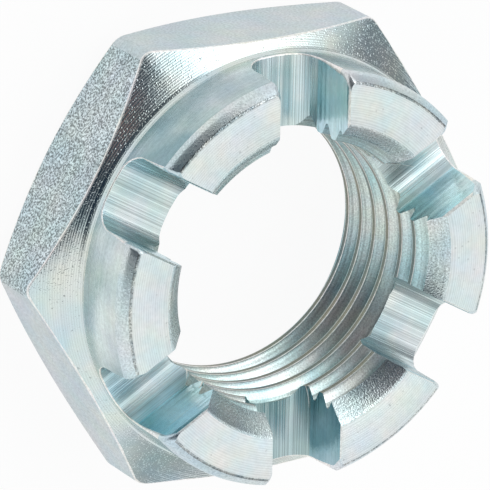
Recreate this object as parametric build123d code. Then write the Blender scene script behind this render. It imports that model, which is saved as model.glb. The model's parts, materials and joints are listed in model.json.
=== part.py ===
"""Thin castle nut, M24 x 2, 36 mm across flats.

One piece of steel: a hexagon chamfered at both ends, a round collar on top of it,
and six slots milled across the collar for a split pin.
Millimetres. The origin is the centre of the bearing face, and +Z runs along the
thread axis towards the castle.
"""
from build123d import *
import math
import os

# ---- driving dimensions ---------------------------------------------------------------

# hexagon
ACROSS_FLATS = 36.0
BAR_CORNER_RADIUS = 1.2         # the drawn bar's corners aren't sharp
FACE_CHAMFER_ANGLE = 30.0       # both ends of the hexagon, measured from the face plane
BEARING_FACE_DIA = 34.4

# collar
COLLAR_DIA = 34.0
COLLAR_BASE_HEIGHT = 8.55       # where the collar's wall meets the top chamfer of the hexagon
COLLAR_BASE_FILLET = 0.8
COLLAR_RIM_WIDTH = 0.7          # bevel round the collar's outer top edge, inwards
COLLAR_RIM_DROP = 0.8           # the same bevel, downwards
NUT_HEIGHT = 15.0

# threaded bore, plain here at the crest diameter of the thread
THREAD_CREST_DIA = 22.2
COUNTERSINK_DIA = 25.6
COUNTERSINK_ANGLE = 90.0        # included angle, at both ends of the bore

# slots, one at the middle of each flat
SLOT_COUNT = 6
SLOT_WIDTH = 6.1
SLOT_DEPTH = 5.9
SLOT_CORNER_RADIUS = 1.8

# how far a cutter runs past the surface that it cuts
CUTTER_OVERRUN = 2.0

# ---- sizes that follow from them ------------------------------------------------------

HEX_CORNER_RADIUS = ACROSS_FLATS / 2 / math.cos(math.radians(30))
BEARING_FACE_RADIUS = BEARING_FACE_DIA / 2
COLLAR_RADIUS = COLLAR_DIA / 2
CHAMFER_SLOPE = math.tan(math.radians(FACE_CHAMFER_ANGLE))
SLOT_FLOOR_HEIGHT = NUT_HEIGHT - SLOT_DEPTH
CREST_RADIUS = THREAD_CREST_DIA / 2
COUNTERSINK_RADIUS = COUNTERSINK_DIA / 2
COUNTERSINK_DEPTH = (COUNTERSINK_RADIUS - CREST_RADIUS) / math.tan(math.radians(COUNTERSINK_ANGLE / 2))


def hexagon_bar():
    """The bar that the nut is turned from, with a flat facing +X."""
    outline = RegularPolygon(radius=HEX_CORNER_RADIUS, side_count=6, rotation=30)
    outline = fillet(outline.vertices(), BAR_CORNER_RADIUS)
    return extrude(outline, amount=NUT_HEIGHT)


def turned_envelope():
    """All that the lathe leaves: both chamfers of the hexagon and the collar with its bevel."""
    reach = HEX_CORNER_RADIUS + CUTTER_OVERRUN
    lower_chamfer_rise = (reach - BEARING_FACE_RADIUS) * CHAMFER_SLOPE
    upper_chamfer_drop = (reach - COLLAR_RADIUS) * CHAMFER_SLOPE
    half_section = Polyline(
        (0, 0),
        (BEARING_FACE_RADIUS, 0),
        (reach, lower_chamfer_rise),
        (reach, COLLAR_BASE_HEIGHT - upper_chamfer_drop),
        (COLLAR_RADIUS, COLLAR_BASE_HEIGHT),
        (COLLAR_RADIUS, NUT_HEIGHT - COLLAR_RIM_DROP),
        (COLLAR_RADIUS - COLLAR_RIM_WIDTH, NUT_HEIGHT),
        (0, NUT_HEIGHT),
        close=True,
    )
    section = make_face(half_section)
    collar_foot = section.vertices().sort_by_distance((COLLAR_RADIUS, COLLAR_BASE_HEIGHT))[0]
    section = fillet(collar_foot, COLLAR_BASE_FILLET)
    return revolve(Plane.XZ * section, Axis.Z)


def bore_cutter():
    """The bore at the thread's crests, with a countersink at each end."""
    half_section = Polyline(
        (0, -CUTTER_OVERRUN),
        (COUNTERSINK_RADIUS, -CUTTER_OVERRUN),
        (COUNTERSINK_RADIUS, 0),
        (CREST_RADIUS, COUNTERSINK_DEPTH),
        (CREST_RADIUS, NUT_HEIGHT - COUNTERSINK_DEPTH),
        (COUNTERSINK_RADIUS, NUT_HEIGHT),
        (COUNTERSINK_RADIUS, NUT_HEIGHT + CUTTER_OVERRUN),
        (0, NUT_HEIGHT + CUTTER_OVERRUN),
        close=True,
    )
    return revolve(Plane.XZ * make_face(half_section), Axis.Z)


def slot_cutter():
    """One milled slot: straight walls and a floor with rounded corners, cut out through +X."""
    height = SLOT_DEPTH + CUTTER_OVERRUN
    profile = Pos(0, SLOT_FLOOR_HEIGHT + height / 2) * Rectangle(SLOT_WIDTH, height)
    floor_corners = profile.vertices().group_by(Axis.Y)[0]
    profile = fillet(floor_corners, SLOT_CORNER_RADIUS)
    return extrude(Plane.YZ * profile, amount=COLLAR_RADIUS + CUTTER_OVERRUN)


def castle_slots():
    """The six slots, one through the middle of each flat."""
    return [Rot(0, 0, turn * 360 / SLOT_COUNT) * slot_cutter() for turn in range(SLOT_COUNT)]


def castle_nut():
    """The finished nut."""
    blank = hexagon_bar() & turned_envelope()
    return blank - bore_cutter() - castle_slots()


os.makedirs("parts", exist_ok=True)
export_step(castle_nut(), "parts/castle_nut.step")
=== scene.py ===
"""Finish of the thin castle nut: edges, thread, cutter marks and zinc plating, in a pale studio."""
import json
import math
import random

import bmesh
import bpy
from mathutils import Matrix, Vector


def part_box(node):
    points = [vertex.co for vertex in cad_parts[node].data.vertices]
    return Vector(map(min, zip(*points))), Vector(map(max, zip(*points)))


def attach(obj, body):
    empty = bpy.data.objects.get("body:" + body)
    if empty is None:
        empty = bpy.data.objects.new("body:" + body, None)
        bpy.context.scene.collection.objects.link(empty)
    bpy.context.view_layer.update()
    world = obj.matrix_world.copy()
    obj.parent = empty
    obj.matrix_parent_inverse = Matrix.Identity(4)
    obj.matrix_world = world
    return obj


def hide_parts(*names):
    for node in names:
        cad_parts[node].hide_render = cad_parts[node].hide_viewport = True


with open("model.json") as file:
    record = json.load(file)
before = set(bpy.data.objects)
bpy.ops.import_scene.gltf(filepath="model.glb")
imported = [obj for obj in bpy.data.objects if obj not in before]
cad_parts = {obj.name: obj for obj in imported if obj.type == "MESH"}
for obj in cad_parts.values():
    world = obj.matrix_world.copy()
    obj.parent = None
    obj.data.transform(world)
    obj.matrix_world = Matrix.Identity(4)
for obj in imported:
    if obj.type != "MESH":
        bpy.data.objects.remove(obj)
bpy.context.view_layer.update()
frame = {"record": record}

MM = 0.001
NODE = "castle_nut"
node_low, node_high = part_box(NODE)
thread_mount = next(m for m in frame["record"]["mounts"] if m["name"] == "thread")

# ---- sizes of the nut, in millimetres --------------------------------------------------

SIXTH_TURN = math.radians(60)   # from one flat of the bar, or one slot, to the next
FULL_TURN = 2 * math.pi
NUT_HEIGHT = (node_high.z - node_low.z) / MM
FLAT_DISTANCE = (node_high.x - node_low.x) / MM / 2
BAR_CORNER_RADIUS = 1.2
CHAMFER_SLOPE = math.tan(math.radians(30))
BEARING_RADIUS = 17.2

COLLAR_RADIUS = 17.0
COLLAR_BASE = 8.55
COLLAR_FILLET = 0.8
RIM_WIDTH = 0.7
RIM_DROP = 0.8

CREST_RADIUS = thread_mount["dims"]["r_mm"]
PITCH = 2.0
THREAD_DEPTH = 1.0              # tapped a little oversize, to leave room for plating
ROOT_RADIUS = 0.2
CREST_BREAK = 0.2               # radius that plating leaves along the crest's edges
CREST_LINE = 0.03               # this much of that rounding takes the pale edge finish, a painted highlight line
LEVEL = 0.001                   # a smaller step than this is no step
ROOT_FLAT = PITCH / 16          # half of the flat at the bottom of the groove
THREAD_HALF_ANGLE = math.radians(30)
ROOT_HEIGHT = -0.1              # height of a root line at azimuth 0
COUNTERSINK_RADIUS = 12.8

SLOT_COUNT = 6
SLOT_HALF_WIDTH = 3.05
SLOT_FLOOR = 9.1
SLOT_CORNER = 1.8

EDGE_BREAK = 0.09               # radius that tumbling and plating leave on a sharp edge
RIM_BREAK = 0.9                 # the rim runs into the collar in a soft round
LIP_BREAK = RIM_BREAK / 3       # and into the top in a smaller one
EDGE_WEAR = 0.22                # the drawn bar's edges are more worn, and unevenly
UNEVEN = (0.5, 1.5)             # that wear and a cutter's feed vary between these shares
BURR_BREAK = 0.15               # width of the deburred edge along a slot
TOOTH_CORNER = 0.75             # the teeth's outer upright corners are knocked round
FLOOR_SHARE = 0.15              # a slot floor's outer edge is broken by this share of that
RIM_STARTS = 13.5               # above this height those corners plate like the rim
OVERRUN = 1.0                   # how far a cutter runs past the metal
CORE = 10.0                     # the blank's faces are modelled out from here; the bore clears it
CONE_TIP = 0.01                 # the countersink's tip is this wide, so that it is a ring too

MILL_STEP = 0.2                 # spacing of the feed marks in a slot
MILL_DEPTH = 0.016
SLOT_STAGGER = 50.0             # starts each slot's marks in another stretch of the pattern

BURR_SHARE = 0.3                # of the thread's ends at the slots, this share carries a sliver
BURR_REACH = (1.4, 2.4)
BURR_ROOT = 0.14                # half thickness where a sliver leaves the crest, and at its tip
BURR_TIP = 0.03
BURR_WIDTH = (0.5, 0.3)         # a sliver's blade, as shares of its thickness along and across the slot
BURR_LEAN = ((0.4, 0.7), (0.1, 0.2), (0.6, 0.9))    # outwards, into the slot and up
BURR_CURL = ((0.0, 0.15), (-0.2, 0.2))              # into the slot and up
BURR_SECTION = ((1, 0), (0, 1), (-1, 0), (0, -1))

HAIR = 0.002                    # an edge shorter than this is a leftover of the cuts
SHARP_ANGLE = 32                # degrees; a steeper fold shows as an edge
WALL_STARTS = 0.7               # share of the slot's corner radius above which its side is wall
PAINTED_SHADE_WALLS = (3, 4)       # slots whose walls get a darker copy of the wall finish: painted shade
# the slots whose floor gets a darker copy of the floor finish: painted shade
PAINTED_SHADE_FLOORS = (3,)
PAINTED_LIGHT_FLOORS = (2,)         # the slot whose floor gets a paler, bluer copy of the floor finish: painted light
BLASTED_SIDES = (1, 4)          # two opposite sides of the bar kept their rough skin

# How finely the forms are drawn: columns of faces round the nut, and faces in each round
COLUMNS_PER_FLAT = 50
COLUMNS_PER_CORNER = 10
THREAD_COLUMNS = 240
THREAD_STEPS = (3, 4)           # in the root's round and the crest's
MOUTH_STEPS = 3
SLOT_CORNER_STEPS = 14
TOOTH_CORNER_STEPS = 5
BURR_RINGS = 5

# Seeds of the random draws
WEAR_SEED = 7
MILL_SEED = 40                  # plus the slot's number
BURR_SEED = 174


# ---- outlines ----------------------------------------------------------------------------

def rounded(points, radii, steps):
    """The run of (x, y) points with each inner corner turned into an arc of its radius."""
    run = [Vector(points[0])]
    for before, corner, after, radius, count in zip(points, points[1:], points[2:], radii, steps):
        corner = Vector(corner)
        back = (Vector(before) - corner).normalized()
        ahead = (Vector(after) - corner).normalized()
        half = back.angle(ahead) / 2
        centre = corner + (back + ahead).normalized() * (radius / math.sin(half))
        start = corner + back * (radius / math.tan(half)) - centre
        end = corner + ahead * (radius / math.tan(half)) - centre
        turn = -start.angle_signed(end)
        run += [centre + Matrix.Rotation(turn * k / count, 2) @ start for k in range(count + 1)]
    return run + [Vector(points[-1])]


def bar_columns():
    """(side, azimuth, reach, distance along the side) round the drawn bar with its rounded corners."""
    corner_distance = (FLAT_DISTANCE - BAR_CORNER_RADIUS) / math.cos(SIXTH_TURN / 2)
    half_flat = corner_distance * math.sin(SIXTH_TURN / 2)
    columns = []
    for side in range(6):
        for k in range(COLUMNS_PER_FLAT):
            along = half_flat * (2 * k / COLUMNS_PER_FLAT - 1)
            columns.append((side, Vector((FLAT_DISTANCE, along)), along))
        for k in range(COLUMNS_PER_CORNER):
            turn = SIXTH_TURN * k / COLUMNS_PER_CORNER
            offset = Vector((math.cos(turn), math.sin(turn))) * BAR_CORNER_RADIUS
            point = Vector((FLAT_DISTANCE - BAR_CORNER_RADIUS, half_flat)) + offset
            columns.append((side, point, half_flat + BAR_CORNER_RADIUS * turn))
    return [(side, SIXTH_TURN * side + math.atan2(p.y, p.x), p.length, along)
            for side, p, along in columns]


# The faces in each round of the blank's profile, and the finish of every face up the profile
BLANK_STEPS = (3, 3, 3, 8, 4, 3)
# Its edge bands take the pale edge finish, a painted highlight.
BLANK_BANDS = (["bearing"] + ["edge"] * 3 + ["chamfer"] + ["edge"] * 3 + ["side"] + ["edge"] * 3
               + ["cone"] * 9 + ["collar"] + ["rim"] * 5 + ["lip"] * 3 + ["top"])
SIDE_BAND = BLANK_BANDS.index("side")


def blank_profile(reach, wear):
    """(radius, height) from the bearing face over the bar's side and the turned collar to the top."""
    points = [
        (CORE, 0),
        (BEARING_RADIUS, 0),
        (reach, (reach - BEARING_RADIUS) * CHAMFER_SLOPE),
        (reach, COLLAR_BASE - (reach - COLLAR_RADIUS) * CHAMFER_SLOPE),
        (COLLAR_RADIUS, COLLAR_BASE),
        (COLLAR_RADIUS, NUT_HEIGHT - RIM_DROP),
        (COLLAR_RADIUS - RIM_WIDTH, NUT_HEIGHT),
        (CORE, NUT_HEIGHT),
    ]
    radii = (EDGE_BREAK, 2 * EDGE_BREAK, wear, COLLAR_FILLET, RIM_BREAK, LIP_BREAK)
    return rounded(points, radii, BLANK_STEPS)


def thread_form():
    """(height in the pitch, radius) of one groove, from one root line to just before the next."""
    root = CREST_RADIUS + THREAD_DEPTH
    groove = ROOT_FLAT + THREAD_DEPTH * math.tan(THREAD_HALF_ANGLE)
    points = [(0, root), (ROOT_FLAT, root), (groove, CREST_RADIUS), (PITCH / 2, CREST_RADIUS)]
    rise = [(p.x, p.y) for p in rounded(points, (ROOT_RADIUS, CREST_BREAK), THREAD_STEPS)]
    fall = [(PITCH - height, radius) for height, radius in rise[-2:0:-1]]
    return rise + fall


def hatched(run, spacing, depth, draw):
    """The run in uneven short steps, each pushed in or out a little, as a milling cutter leaves it."""
    lengths = [(b - a).length for a, b in zip(run, run[1:])]
    total = sum(lengths)
    place, points, walked, index = 0.0, [run[0]], 0.0, 0
    while True:
        place += spacing * draw.uniform(*UNEVEN)
        if place > total - spacing:
            return points + [run[-1]]
        while walked + lengths[index] < place:
            walked += lengths[index]
            index += 1
        direction = (run[index + 1] - run[index]).normalized()
        point = run[index] + direction * (place - walked)
        points.append(point + Vector((-direction.y, direction.x)) * draw.uniform(-depth, depth))


# ---- meshes --------------------------------------------------------------------------------

def solid(name, points, faces, finishes):
    """A mesh from points in mm and faces of (corners, their distances across the tool marks, finish)."""
    mesh = bpy.data.meshes.new(name)
    places = [tuple(c * MM for c in p) for p in points]
    mesh.from_pydata(places, [], [corners for corners, _, _ in faces])
    kinds = sorted({finish for _, _, finish in faces})
    for kind in kinds:
        mesh.materials.append(finishes[kind])
    mesh.polygons.foreach_set("material_index", [kinds.index(finish) for _, _, finish in faces])
    lay = mesh.uv_layers.new(name="lay")
    across = [distance for _, distances, _ in faces for distance in distances]
    lay.data.foreach_set("uv", [value for distance in across for value in (distance, 0.0)])
    piece = bpy.data.objects.new(name, mesh)
    bpy.context.scene.collection.objects.link(piece)
    return piece


def skin(name, rings, across, finish, finishes):
    """A closed solid over rings of points; across and finish are asked for ring j and point i."""
    count = len(rings[0])
    faces = []
    for j in range(len(rings) - 1):
        for i in range(count):
            n = (i + 1) % count
            corners = [j * count + i, j * count + n, (j + 1) * count + n, (j + 1) * count + i]
            faces.append((corners, across(j, i), finish(j, i)))
    last = (len(rings) - 1) * count
    faces.append((list(range(count))[::-1], [0.0] * count, finish(0, 0)))
    faces.append((list(range(last, last + count)), [0.0] * count, finish(len(rings) - 2, 0)))
    return solid(name, [p for ring in rings for p in ring], faces, finishes)


def polar(radius, azimuth, height):
    """The point this far out from the nut's axis, at this azimuth and height."""
    return Vector((radius * math.cos(azimuth), radius * math.sin(azimuth), height))


def blank(finishes):
    """The turned and drawn blank: hexagon, chamfers, collar with its base fillet, and rim."""
    columns = bar_columns()
    draw = random.Random(WEAR_SEED)
    wear = [EDGE_WEAR * draw.uniform(*UNEVEN) for _ in columns]
    profiles = [blank_profile(reach, (wear[k - 2] + wear[k - 1] + wear[k]) / 3)
                for k, (_, _, reach, _) in enumerate(columns)]
    rings = [[polar(profile[j].x, azimuth, profile[j].y)
              for profile, (_, azimuth, _, _) in zip(profiles, columns)]
             for j in range(len(profiles[0]))]
    walked = [[0.0] for _ in profiles]
    for profile, distances in zip(profiles, walked):
        for a, b in zip(profile, profile[1:]):
            distances.append(distances[-1] + (b - a).length)

    def across(j, i):
        n = (i + 1) % len(columns)
        if j != SIDE_BAND:
            corners = ((i, j), (n, j), (n, j + 1), (i, j + 1))
            return [walked[c][r] - (walked[c][-1] if j > SIDE_BAND else 0) for c, r in corners]
        here = columns[i][3]
        there = here + (columns[n][1] - columns[i][1]) % FULL_TURN * columns[i][2]
        return [here, there, there, here]

    def finish(j, i):
        if BLANK_BANDS[j] == "side" and columns[i][0] in BLASTED_SIDES:
            return "blasted"
        return BLANK_BANDS[j]

    return skin(NODE + "_finish", rings, across, finish, finishes)


def tap_finish(low, near, far):
    """What is left between two radii from this height up: the crest's land, darkened as painted shade, its
    painted highlight line, or thread.
    """
    above_crest = max(near, far) - CREST_RADIUS
    if above_crest < LEVEL:
        return "bore"
    return "edge" if low >= PITCH / 2 and above_crest < CREST_LINE else "thread"


def tap(finishes):
    """A right-hand tap on the nut's axis: one long helical strip, closed below and above the nut."""
    form = thread_form()
    per_pitch = len(form)
    turns = math.ceil((NUT_HEIGHT + PITCH) / PITCH)
    rows = turns * per_pitch
    base = ROOT_HEIGHT - PITCH

    def height(j, i):
        return base + PITCH * (j // per_pitch + i / THREAD_COLUMNS) + form[j % per_pitch][0]

    index, points = {}, []
    for i in range(THREAD_COLUMNS):
        for j in range(rows + 1 + (per_pitch if i == 0 else 0)):
            index[j, i] = len(points)
            azimuth = FULL_TURN * i / THREAD_COLUMNS
            points.append(polar(form[j % per_pitch][1], azimuth, height(j, i)))
    for j in range(rows + 1):
        index[j, THREAD_COLUMNS] = index[j + per_pitch, 0]
    faces = []
    for i in range(THREAD_COLUMNS):
        for j in range(rows):
            corners = [index[j, i], index[j, i + 1], index[j + 1, i + 1], index[j + 1, i]]
            low, near = form[j % per_pitch]
            high, far = form[(j + 1) % per_pitch]
            high = high or PITCH
            faces.append((corners, [low, low, high, high], tap_finish(low, near, far)))
    for end, turn in ((0, -1), (rows, 1)):
        rim = [index[end, i] for i in range(THREAD_COLUMNS + 1)]
        rim += [index[j, 0] for j in range(end + per_pitch - 1, end, -1)]
        centre = len(points)
        points.append(Vector((0, 0, height(end, THREAD_COLUMNS / 2))))
        for a, b in zip(rim, rim[1:] + rim[:1]):
            faces.append(([a, b, centre][::turn], [0.0] * 3, "thread"))
    return solid("tap", points, faces, finishes)


def countersink(finishes, face_height, side):
    """The 90 degree cone that breaks the bore's edge, with its own small edge break at the face."""
    reach = COUNTERSINK_RADIUS
    profile = [
        (CONE_TIP, -reach),
        (reach - BURR_BREAK, -BURR_BREAK),
        (reach + BURR_BREAK, 0),
        (reach + OVERRUN, OVERRUN / 2),
    ]
    rings = [[polar(radius, side * FULL_TURN * i / THREAD_COLUMNS, face_height + side * rise)
              for i in range(THREAD_COLUMNS)] for radius, rise in profile]

    def across(j, i):
        near, far = (profile[j][0] * math.sqrt(2), profile[j + 1][0] * math.sqrt(2))
        return [near, near, far, far]

    return skin("countersink", rings, across, lambda j, i: "countersink", finishes)


def slot_section(number):
    """(x, height) round the slot's section, with a flared mouth and the cutter's uneven feed marks."""
    mouth = NUT_HEIGHT - BURR_BREAK
    half = [
        (SLOT_HALF_WIDTH + OVERRUN, mouth + OVERRUN),
        (SLOT_HALF_WIDTH, mouth),
        (SLOT_HALF_WIDTH, SLOT_FLOOR),
    ]
    corners = [(-x, height) for x, height in half] + half[::-1]
    radii = (2 * BURR_BREAK, SLOT_CORNER, SLOT_CORNER, 2 * BURR_BREAK)
    steps = (MOUTH_STEPS, SLOT_CORNER_STEPS, SLOT_CORNER_STEPS, MOUTH_STEPS)
    section = rounded(corners, radii, steps)
    return hatched(section, MILL_STEP, MILL_DEPTH, random.Random(MILL_SEED + number))


def clamped(value):
    """The value, held between 0 and 1."""
    return min(1.0, max(0.0, value))


def slot_ring(section, past, back, out):
    """The section this far past the collar's wall, drawn back and swelled by shares of its rounding.

    The rounding is full at the teeth's tops, and fades towards the floor."""
    ring = []
    for p in section:
        aside = max(0.0, abs(p.x) - SLOT_HALF_WIDTH + SLOT_CORNER)
        below = max(0.0, SLOT_FLOOR + SLOT_CORNER - p.y)
        outward = Vector((math.copysign(aside, p.x), -below)).normalized()
        climb = clamped((p.y - SLOT_FLOOR) / (NUT_HEIGHT - SLOT_FLOOR))
        radius = TOOTH_CORNER * (FLOOR_SHARE + (1 - FLOOR_SHARE) * climb ** 2)
        bevelled = clamped((p.y - NUT_HEIGHT + RIM_DROP) / RIM_DROP)
        wall = math.sqrt((COLLAR_RADIUS - RIM_WIDTH * bevelled) ** 2 - p.x ** 2)
        swelled = p + outward * (radius * out)
        ring.append(Vector((wall + past + radius * back, swelled.x, swelled.y)))
    return ring


def slot_cutter(finishes, number):
    """A milling cutter's path through one side of the collar."""
    section = slot_section(number)
    distance = [SLOT_STAGGER * number]
    for a, b in zip(section, section[1:]):
        distance.append(distance[-1] + (b - a).length)
    path = [(CORE - OVERRUN - COLLAR_RADIUS, 0.0, 0.0)]
    for k in range(TOOTH_CORNER_STEPS + 1):
        turned = math.radians(90) * k / TOOTH_CORNER_STEPS
        path.append((0.0, math.sin(turned) - 1, 1 - math.cos(turned)))
    path.append((2 * OVERRUN, 0.0, 1.0))
    turn = Matrix.Rotation(SIXTH_TURN * number, 3, "Z")
    rings = [[turn @ p for p in slot_ring(section, *step)] for step in path]

    def across(j, i):
        near, far = distance[i], distance[(i + 1) % len(section)]
        return [near, far, far, near]

    def finish(j, i):
        height = min(section[i].y, section[(i + 1) % len(section)].y)
        # The knocked-round corners and the mouth's edges take the pale edge finish, a painted highlight.
        if 0 < j <= TOOTH_CORNER_STEPS:
            return "rim" if height > RIM_STARTS else "edge"
        if height > NUT_HEIGHT - BURR_BREAK - EDGE_BREAK:
            return "edge"
        # Slots listed above take darker or paler copies of the wall and floor finishes: painted shade and
        # painted light.
        if height > SLOT_FLOOR + SLOT_CORNER * WALL_STARTS:
            return "thick_film_wall" if number in PAINTED_SHADE_WALLS else "slot_wall"
        if number in PAINTED_LIGHT_FLOORS:
            return "thin_film_floor"
        return "thick_film_floor" if number in PAINTED_SHADE_FLOORS else "slot_floor"

    return skin("slot_cutter", rings, across, finish, finishes)


def crest_ends():
    """(slot number, side, height) of each end of the thread's crest at a slot's wall, above its floor."""
    ends = []
    for number in range(SLOT_COUNT):
        for side in (-1, 1):
            azimuth = math.asin(side * SLOT_HALF_WIDTH / CREST_RADIUS)
            crest = ROOT_HEIGHT + PITCH * (number / SLOT_COUNT + azimuth / FULL_TURN + 0.5)
            while crest < NUT_HEIGHT - (COUNTERSINK_RADIUS - CREST_RADIUS):
                if crest > SLOT_FLOOR:
                    ends.append((number, side, crest))
                crest += PITCH
    return ends


def burr(finishes, draw, number, side, crest):
    """A sliver of metal that the slot cutter pushed out of the thread's crest and left hanging."""
    below_wall = min(0.0, crest - SLOT_FLOOR - SLOT_CORNER)
    inset = SLOT_CORNER - math.sqrt(SLOT_CORNER ** 2 - below_wall ** 2)
    inner = math.sqrt(CREST_RADIUS ** 2 - SLOT_HALF_WIDTH ** 2) + EDGE_BREAK / 2
    root = Vector((inner, side * (SLOT_HALF_WIDTH - inset), crest))
    reach = draw.uniform(*BURR_REACH)
    out, inwards, up = [draw.uniform(*limits) for limits in BURR_LEAN]
    lean = Vector((out, -side * inwards, up))
    inwards, up = [draw.uniform(*limits) for limits in BURR_CURL]
    curl = Vector((0, -side * inwards, up))
    reach = min(reach, (NUT_HEIGHT - BURR_ROOT - crest) / (lean.z + abs(curl.z)))
    turn = Matrix.Rotation(SIXTH_TURN * number, 3, "Z")
    rings = []
    for k in range(BURR_RINGS):
        share = k / (BURR_RINGS - 1)
        centre = root + (lean * share + curl * share ** 2) * reach
        thick = BURR_ROOT + (BURR_TIP - BURR_ROOT) * share
        blade = [Vector((BURR_WIDTH[0] * x, BURR_WIDTH[1] * x, z)) for x, z in BURR_SECTION]
        rings.append([turn @ (centre + offset * thick) for offset in blade])
    # The sliver takes the pale edge finish, a painted highlight.
    return skin("burr", rings, lambda j, i: [0.0] * len(rings[0]), lambda j, i: "edge", finishes)


def fold_hairs(mesh):
    """Take out the hair-thin triangles that the cuts leave where two edges nearly meet."""
    shape = bmesh.new()
    shape.from_mesh(mesh)
    bmesh.ops.dissolve_degenerate(shape, edges=shape.edges, dist=HAIR * MM)
    shape.to_mesh(mesh)
    shape.free()


def machined(piece, cutters, slivers):
    """The piece with every cutter taken out of it and every sliver left on it, as one plain mesh."""
    for tool in cutters + slivers:
        cut = piece.modifiers.new(tool.name, "BOOLEAN")
        cut.operation = "UNION" if tool in slivers else "DIFFERENCE"
        cut.solver = "MANIFOLD"
        cut.material_mode = "TRANSFER"
        cut.object = tool
    graph = bpy.context.evaluated_depsgraph_get()
    mesh = bpy.data.meshes.new_from_object(piece.evaluated_get(graph), depsgraph=graph)
    mesh.name = NODE + "_finish"
    fold_hairs(mesh)
    piece.modifiers.clear()
    piece.data = mesh
    for tool in cutters + slivers:
        bpy.data.objects.remove(tool)
    mesh.shade_smooth()
    mesh.set_sharp_from_angle(angle=math.radians(SHARP_ANGLE))
    return piece


# ---- finishes --------------------------------------------------------------------------------

def linear(hex_colour):
    """An sRGB hex colour as linear RGBA."""
    parts = [int(hex_colour[k:k + 2], 16) / 255 for k in (0, 2, 4)]
    return tuple(c / 12.92 if c <= 0.04045 else ((c + 0.055) / 1.055) ** 2.4 for c in parts) + (1.0,)


def add(tree, kind, inputs=None, **settings):
    """A new node with its settings, and its inputs set or linked by name or number."""
    node = tree.nodes.new(kind)
    for name, value in settings.items():
        setattr(node, name, value)
    for name, value in (inputs or {}).items():
        if isinstance(value, bpy.types.NodeSocket):
            tree.links.new(value, node.inputs[name])
        else:
            node.inputs[name].default_value = value
    return node


def per_mm(size):
    """Noise scale, in metres, for a pattern whose grain is this many millimetres."""
    return 1 / (size * MM)


STEADY = 0.6                    # how much less regular marks wander
HALF_MARK = 0.5                 # a mark rises over half its spacing and falls over the other half
MARK_LIFT = 0.25                # brings regular marks to the same middle height as the others


def tool_marks(tree, spacing, run, even):
    """Height from 0 to 1 of long marks, this far apart and running about this far along the cut, in mm.

    They are as regular as the cutter's feed where even is 1, and irregular where it is 0."""
    lay = add(tree, "ShaderNodeUVMap", uv_map="lay")
    place = add(tree, "ShaderNodeTexCoord")
    across = add(tree, "ShaderNodeSeparateXYZ", {0: lay.outputs[0]})
    line = add(tree, "ShaderNodeMath", {0: across.outputs[0], 1: 1 / spacing}, operation="MULTIPLY")
    along = add(tree, "ShaderNodeVectorMath", {0: place.outputs["Object"], "Scale": per_mm(run)},
                operation="SCALE")
    step = add(tree, "ShaderNodeCombineXYZ", {0: line.outputs[0]})
    where = add(tree, "ShaderNodeVectorMath", {0: along.outputs[0], 1: step.outputs[0]}, operation="ADD")
    uneven = add(tree, "ShaderNodeTexNoise",
                 {"Vector": where.outputs[0], "Scale": 1 - STEADY * even, "Detail": 1.0})
    phase = add(tree, "ShaderNodeMath", {0: uneven.outputs[0], 1: line.outputs[0]}, operation="ADD")
    ridge = add(tree, "ShaderNodeMath", {0: phase.outputs[0], 1: HALF_MARK}, operation="PINGPONG")
    level = add(tree, "ShaderNodeMath", {0: ridge.outputs[0], 1: MARK_LIFT}, operation="ADD")
    return add(tree, "ShaderNodeMix", {0: even, 2: uneven.outputs[0], 3: level.outputs[0]}).outputs[0]


def grain(tree, size, detail=1.0):
    """Height from 0 to 1 of an even grain of this size in mm."""
    place = add(tree, "ShaderNodeTexCoord")
    return add(tree, "ShaderNodeTexNoise",
               {"Vector": place.outputs["Object"], "Scale": per_mm(size), "Detail": detail}).outputs[0]


SPECK_SIZE = 0.3                # mm
SPECK_LIMITS = (0.77, 0.83)     # only the grain's rare peaks between these heights are specks
PIMPLE_SIZE = 0.13
PIMPLE_LIMITS = (0.62, 0.78)


def spots(tree, size, limits):
    """1 on the peaks of an even grain of this size in mm, and 0 between them."""
    low, high = limits
    return add(tree, "ShaderNodeMapRange", {0: grain(tree, size, 0.0), 1: low, 2: high}).outputs[0]


def specks(tree):
    """Small dents and specks, a millimetre or two apart."""
    return spots(tree, SPECK_SIZE, SPECK_LIMITS)


def glinting_pimples(tree):
    """The tiny nodules of zinc on a mirror-like cut, with a painted glint that lifts their colour."""
    return spots(tree, PIMPLE_SIZE, PIMPLE_LIMITS)


HOLLOW, PEAK = 0.33, 0.67       # a pattern's height stays mostly between these
PATCH = 4.0                     # mm; size of the soft patches in the zinc's own colour
FILM_PATCH = 3.0                # mm; the passivation film shows faint patches of other colours
FILM_SWING = (0.18, 0.12, 0.18)
FILM_BASE = (0.91, 0.94, 0.91)


def passivated(tree, tints, patch):
    """Colour of the zinc: two tints in soft patches, and the film's faint play of other colours."""
    cloud = add(tree, "ShaderNodeMapRange", {0: grain(tree, patch, 3.0), 1: HOLLOW, 2: PEAK}).outputs[0]
    tint = add(tree, "ShaderNodeMix", {0: cloud, 6: linear(tints[0]), 7: linear(tints[1])},
               data_type="RGBA")
    place = add(tree, "ShaderNodeTexCoord").outputs["Object"]
    film = add(tree, "ShaderNodeTexNoise", {"Vector": place, "Scale": per_mm(FILM_PATCH), "Detail": 2.0})
    hue = add(tree, "ShaderNodeVectorMath", {0: film.outputs["Color"], 1: FILM_SWING, 2: FILM_BASE},
              operation="MULTIPLY_ADD")
    both = add(tree, "ShaderNodeVectorMath", {0: tint.outputs[2], 1: hue.outputs[0]}, operation="MULTIPLY")
    return both.outputs[0]


def relief(pattern, depth, shades, rougher=0.0):
    """One layer of texture: depth in mm, shades of hollow and peak, and how much rougher a hollow is."""
    return pattern, depth, shades, rougher


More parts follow.
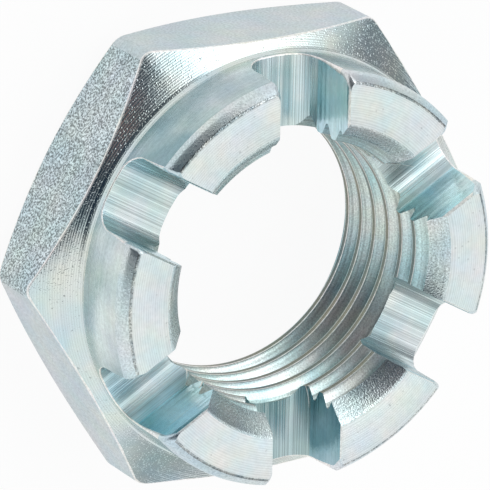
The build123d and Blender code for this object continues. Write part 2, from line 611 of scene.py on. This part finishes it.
def zinc(name, tints, roughness, layers, patch=PATCH):
    """Zinc plate over the layers of texture that machining left in the steel; the first sets the gloss."""
    material = bpy.data.materials.new(name)
    material.use_nodes = True
    tree = material.node_tree
    shader = tree.nodes["Principled BSDF"]
    shader.inputs["Metallic"].default_value = 1.0
    colour = passivated(tree, tints, patch)
    normal = None
    for pattern, depth, shades, rougher in layers:
        height = pattern(tree)
        shade = add(tree, "ShaderNodeMapRange", {0: height, 1: HOLLOW, 2: PEAK, 3: shades[0], 4: shades[1]})
        shaded = add(tree, "ShaderNodeVectorMath", {0: colour, "Scale": shade.outputs[0]},
                     operation="SCALE")
        colour = shaded.outputs[0]
        bump = add(tree, "ShaderNodeBump", {"Height": height, "Distance": depth * MM})
        if normal:
            tree.links.new(normal, bump.inputs["Normal"])
        else:
            gloss = add(tree, "ShaderNodeMapRange",
                        {0: height, 1: HOLLOW, 2: PEAK, 3: roughness + rougher, 4: roughness})
            tree.links.new(gloss.outputs[0], shader.inputs["Roughness"])
        normal = bump.outputs[0]
    tree.links.new(normal, shader.inputs["Normal"])
    tree.links.new(colour, shader.inputs["Base Color"])
    return material


def marks(spacing, run, even=0.0):
    """Tool marks, for a layer of texture."""
    return lambda tree: tool_marks(tree, spacing, run, even)


def grains(size, detail=1.0):
    """Grain, for a layer of texture."""
    return lambda tree: grain(tree, size, detail)


def turned_finishes():
    """The lathe's cuts. Feed marks are drawn at their real 0.2 mm, and finer grain at 0.13 mm, to show."""
    return {
        # Faced on the lathe: a dull silver sheen with close rings.
        "bearing": zinc("zinc_on_faced_bearing", ("C9D1D4", "D2D9DA"), 0.3, [
            relief(marks(0.25, 12, 0.6), 0.010, (0.88, 1.06), 0.15),
            relief(grains(0.2), 0.006, (0.95, 1.05)),
        ]),
        # Turned quickly under the nut: bright, with uneven rings.
        "chamfer": zinc("zinc_on_turned_chamfer", ("C6CFD3", "D3D9D8"), 0.2, [
            relief(marks(0.2, 30, 0.7), 0.014, (0.88, 1.06), 0.2),
            relief(grains(0.2), 0.006, (0.95, 1.05)),
        ]),
        # A sharp tool's cut: mirror bright, so it shows the dark and light of the room, with
        # fine even rings, the odd dent, and tiny nodules where the zinc grew, lifted a little in colour as
        # painted glints.
        "cone": zinc("zinc_on_turned_cone", ("C6DADE", "DBE0DC"), 0.1, [
            relief(marks(0.2, 40, 0.75), 0.02, (0.95, 1.03), 0.15),
            relief(glinting_pimples, 0.008, (1.0, 1.06)),
            relief(specks, 0.01, (1.0, 0.75)),
        ]),
        # A fine finishing cut: soft satin, clouded dark blue-grey in large patches that are a painted
        # reflection of the dark cone below. Its marks are finer than 0.1 mm, and are drawn at 0.12 mm.
        "collar": zinc("zinc_on_turned_collar_painted_reflection", ("8FABB2", "DFE8E7"), 0.2, [
            relief(marks(0.12, 20), 0.005, (0.95, 1.04), 0.08),
            relief(grains(0.3), 0.008, (0.94, 1.05)),
        ], patch=8.0),
        # The chamfer round the teeth's tops, knocked about in the barrel: grainy and half bright.
        "rim": zinc("zinc_on_turned_rim", ("C4D8E0", "DEE4E4"), 0.26, [
            relief(grains(0.15), 0.014, (0.86, 1.1), 0.15),
        ]),
        # The small rolled lip between that chamfer and the top: dark dents and bright crumbs.
        "lip": zinc("zinc_on_turned_lip", ("93A2A8", "D3D6D3"), 0.22, [
            relief(grains(0.14), 0.03, (0.55, 1.3), 0.15),
            relief(grains(0.5), 0.03, (0.8, 1.1)),
        ], patch=1.2),
        # Faced, then milled through: pale, nearly matt, with even rings and small dark specks.
        "top": zinc("zinc_on_faced_castle_top", ("DAE6E9", "E6E8E6"), 0.42, [
            relief(marks(0.2, 24, 0.8), 0.018, (0.93, 1.04), 0.1),
            relief(grains(0.4, 3.0), 0.01, (0.96, 1.03)),
            relief(specks, 0.01, (1.0, 0.82)),
        ], patch=2.5),
        # Cut with a chattering countersink: a coarse grain whose bright and dark specks in the colour are
        # painted sparkle, over faint rings.
        "countersink": zinc("zinc_on_countersink_painted_sparkle", ("BACDD2", "D6DDDC"), 0.22, [
            relief(grains(0.13), 0.022, (0.74, 1.22), 0.1),
            relief(marks(0.14, 10), 0.01, (0.92, 1.06)),
        ]),
    }


def bar_finishes():
    """The drawn bar's own skin, and the zinc that builds up on its edges, painted pale as a highlight."""
    return {
        # Cold drawn: smooth grey satin with a fine even grain.
        "side": zinc("zinc_on_drawn_flat", ("C4D3D9", "D4DADB"), 0.36, [
            relief(grains(0.2, 2.0), 0.014, (0.87, 1.08), 0.1),
        ]),
        # Shot blasted before drawing: the craters' bumps catch the light, and strong bright and dark specks
        # in the colour are painted glints, so it glitters all over.
        "blasted": zinc("zinc_on_rough_bar_skin_painted_glints", ("AEC0C5", "C0CBCD"), 0.2, [
            relief(grains(0.15, 0.0), 0.05, (0.5, 1.5), 0.2),
            relief(grains(0.35), 0.03, (0.85, 1.1)),
        ]),
        # Plating grows thickest on sharp edges; the pale colour of this slightly rough line is also a
        # painted highlight, used on the slots' edges and the burrs too.
        "edge": zinc("zinc_on_edge_painted_highlight", ("F4F7F7", "FBF9F4"), 0.38, [
            relief(grains(0.2), 0.03, (0.86, 1.06), 0.1),
        ]),
    }


def slot_finishes():
    """The slot cutter's marks. The finest are drawn at 0.1 mm, two or three times too coarse, to show."""
    scratched = [
        relief(marks(0.10, 60), 0.02, (0.7, 1.12), 0.15),
        relief(marks(0.5, 60), 0.02, (0.94, 1.04)),
    ]
    wiped = [
        relief(marks(0.2, 40), 0.006, (0.94, 1.04), 0.05),
        relief(grains(0.4), 0.005, (0.95, 1.04)),
    ]
    return {
        # The cutter's rim drags along the floor: bright, with long sharp scratches.
        "slot_floor": zinc("zinc_on_milled_slot_floor", ("C2DBDF", "E8EEEC"), 0.22, scratched),
        # A paler copy with a clear light blue, for the slot listed above: painted light.
        "thin_film_floor": zinc("zinc_on_slot_floor_painted_lighter", ("B9E0EC", "EAF7FA"), 0.3, scratched),
        # Its sides only wipe the walls: smooth, so the blue of the passivation shows.
        "slot_wall": zinc("zinc_on_milled_slot_wall", ("B2D8E0", "D0E6EA"), 0.2, wiped),
        # Darker, deeper blue copies of the same cuts, for the slots listed above: painted shade.
        "thick_film_floor": zinc("zinc_on_slot_floor_painted_shade", ("98B6BA", "B6C8C9"), 0.22, scratched),
        "thick_film_wall": zinc("zinc_on_slot_wall_painted_shade", ("7FA9B6", "9DBBC1"), 0.2, wiped),
    }


def thread_finishes():
    """Tapped steel under the plating; the tap's own scratches are finer than the 0.12 mm drawn."""
    tapped = [
        relief(marks(0.12, 20), 0.014, (0.8, 1.12), 0.1),
        relief(grains(0.12), 0.012, (0.8, 1.14)),
    ]
    return {
        # The flanks and roots: satin, with faint lines round the helix.
        "thread": zinc("zinc_on_tapped_thread", ("B6D6DB", "E2E6E0"), 0.31, tapped, patch=5.0),
        # The crests are what is left of the drilled bore; their darker tints are painted shade, for the
        # dark floor that they reflect through the bore.
        "bore": zinc("zinc_on_thread_crest_painted_shade", ("687A7B", "8D8E7F"), 0.3, tapped, patch=5.0),
    }


def castle_nut():
    """The finished nut, standing for the plain solid."""
    finishes = {**turned_finishes(), **bar_finishes(), **slot_finishes(), **thread_finishes()}
    cutters = [tap(finishes)]
    cutters += [countersink(finishes, NUT_HEIGHT, 1), countersink(finishes, 0, -1)]
    cutters += [slot_cutter(finishes, number) for number in range(SLOT_COUNT)]
    draw = random.Random(BURR_SEED)
    slivers = [burr(finishes, draw, *end) for end in crest_ends() if draw.random() < BURR_SHARE]
    nut = machined(blank(finishes), cutters, slivers)
    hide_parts(NODE)
    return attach(nut, "root")


# ---- studio ----------------------------------------------------------------------------------

CAMERA_AZIMUTH = 55.76
CAMERA_HEIGHT_ANGLE = 53.64
CAMERA_ROLL = 119.97
CAMERA_DISTANCE = 471.8
CAMERA_LENS = 439.9
SENSOR_WIDTH = 36
CLIP_END = 20                   # metres
AIM = Vector((1.07, 1.58, 7.5))


def towards(azimuth, height_angle):
    """Unit direction for an azimuth from +X and an angle above the floor, in degrees."""
    azimuth, height_angle = math.radians(azimuth), math.radians(height_angle)
    flat = math.cos(height_angle)
    return Vector((flat * math.cos(azimuth), flat * math.sin(azimuth), math.sin(height_angle)))


def place_camera():
    """A long lens that looks down at the castle, rolled so that the nut stands on one corner."""
    lens = bpy.data.cameras.new("camera")
    lens.lens = CAMERA_LENS
    lens.sensor_width = SENSOR_WIDTH
    lens.clip_end = CLIP_END
    camera = bpy.data.objects.new("camera", lens)
    bpy.context.scene.collection.objects.link(camera)
    back = towards(CAMERA_AZIMUTH, CAMERA_HEIGHT_ANGLE)
    upright = back.to_track_quat("Z", "Y").to_matrix()
    turned = upright @ Matrix.Rotation(math.radians(CAMERA_ROLL), 3, "Z")
    camera.matrix_world = Matrix.Translation((AIM + back * CAMERA_DISTANCE) * MM) @ turned.to_4x4()
    bpy.context.scene.camera = camera


# Light panels and dark gaps round the nut: azimuth, height angle, half width, fade, change of level
ROOM_PANELS = (
    (40, 46, 31, 7, -1.0),
    (75, 30, 16, 10, -1.0),
    (-30, 50, 12, 16, 1.5),
    (-78, 17, 12, 12, -0.8),
    (-45, 4, 9, 8, -0.7),
    (-60, 31, 5, 9, -0.15),
    (-165, 14, 12, 16, -0.6),
)
ROOM_LEVEL = 1.05
ROOM_LIGHT = "FAFCFC"
ROOM_DARK = "22323F"
BENCH_PANEL = (38, 63, 3, 7, 0.75)      # a warm brown bench shows in the widest dark gap
BENCH_BROWN = "9C7A76"
FLOOR_SIZE = 6.0                # metres
FLOOR_PAINT = "FAFAFA"
FLOOR_ROUGHNESS = 0.9
FLOOR_GLOW = 0.93               # share of plain white in the floor; the rest keeps the nut's shadow


def panel(tree, azimuth, height_angle, half_width, fade, change):
    """The change of level that a round panel makes in the room, fading at its edge."""
    around = add(tree, "ShaderNodeTexCoord").outputs["Generated"]
    facing = add(tree, "ShaderNodeVectorMath", {0: around, 1: towards(azimuth, height_angle)},
                 operation="DOT_PRODUCT")
    edge = math.cos(math.radians(half_width + fade))
    full = math.cos(math.radians(half_width))
    glow = add(tree, "ShaderNodeMapRange", {0: facing.outputs["Value"], 1: edge, 2: full, 4: change},
               interpolation_type="SMOOTHSTEP")
    return glow.outputs[0]


def light_room():
    """Pale walls all round, with one brighter panel and darker gaps between the panels."""
    world = bpy.data.worlds.new("studio")
    bpy.context.scene.world = world
    world.use_nodes = True
    tree = world.node_tree
    level = add(tree, "ShaderNodeValue").outputs[0]
    level.default_value = ROOM_LEVEL
    for numbers in ROOM_PANELS:
        change = panel(tree, *numbers)
        level = add(tree, "ShaderNodeMath", {0: level, 1: change}, operation="ADD").outputs[0]
    walls = add(tree, "ShaderNodeMix", {0: level, 6: linear(ROOM_DARK), 7: linear(ROOM_LIGHT)},
                data_type="RGBA")
    bench = panel(tree, *BENCH_PANEL)
    tint = add(tree, "ShaderNodeMix", {0: bench, 6: walls.outputs[2], 7: linear(BENCH_BROWN)},
               data_type="RGBA")
    shine = tree.nodes["Background"]
    tree.links.new(tint.outputs[2], shine.inputs["Color"])
    strength = add(tree, "ShaderNodeMath", {0: level, 1: 1.0}, operation="MAXIMUM")
    tree.links.new(strength.outputs[0], shine.inputs["Strength"])


def lay_floor():
    """A plain pale floor under the bearing face."""
    bpy.ops.mesh.primitive_plane_add(size=FLOOR_SIZE, location=(0, 0, node_low.z))
    floor = bpy.context.object
    floor.name = "floor"
    paint = bpy.data.materials.new("white_floor")
    paint.use_nodes = True
    tree = paint.node_tree
    shader = tree.nodes["Principled BSDF"]
    shader.inputs["Base Color"].default_value = linear(FLOOR_PAINT)
    shader.inputs["Roughness"].default_value = FLOOR_ROUGHNESS
    rays = add(tree, "ShaderNodeLightPath")
    seen = rays.outputs["Is Camera Ray"]
    for ray in ("Is Glossy Ray", "Is Transmission Ray"):
        either = add(tree, "ShaderNodeMath", {0: seen, 1: rays.outputs[ray]}, operation="MAXIMUM")
        seen = either.outputs[0]
    share = add(tree, "ShaderNodeMath", {0: seen, 1: FLOOR_GLOW}, operation="MULTIPLY")
    glow = add(tree, "ShaderNodeEmission", {"Color": linear("FFFFFF"), "Strength": 1.0})
    mix = add(tree, "ShaderNodeMixShader", {0: share.outputs[0], 1: shader.outputs[0], 2: glow.outputs[0]})
    tree.links.new(mix.outputs[0], tree.nodes["Material Output"].inputs["Surface"])
    floor.data.materials.append(paint)


place_camera()
light_room()
lay_floor()
castle_nut()
bpy.context.scene.view_settings.view_transform = "Standard"
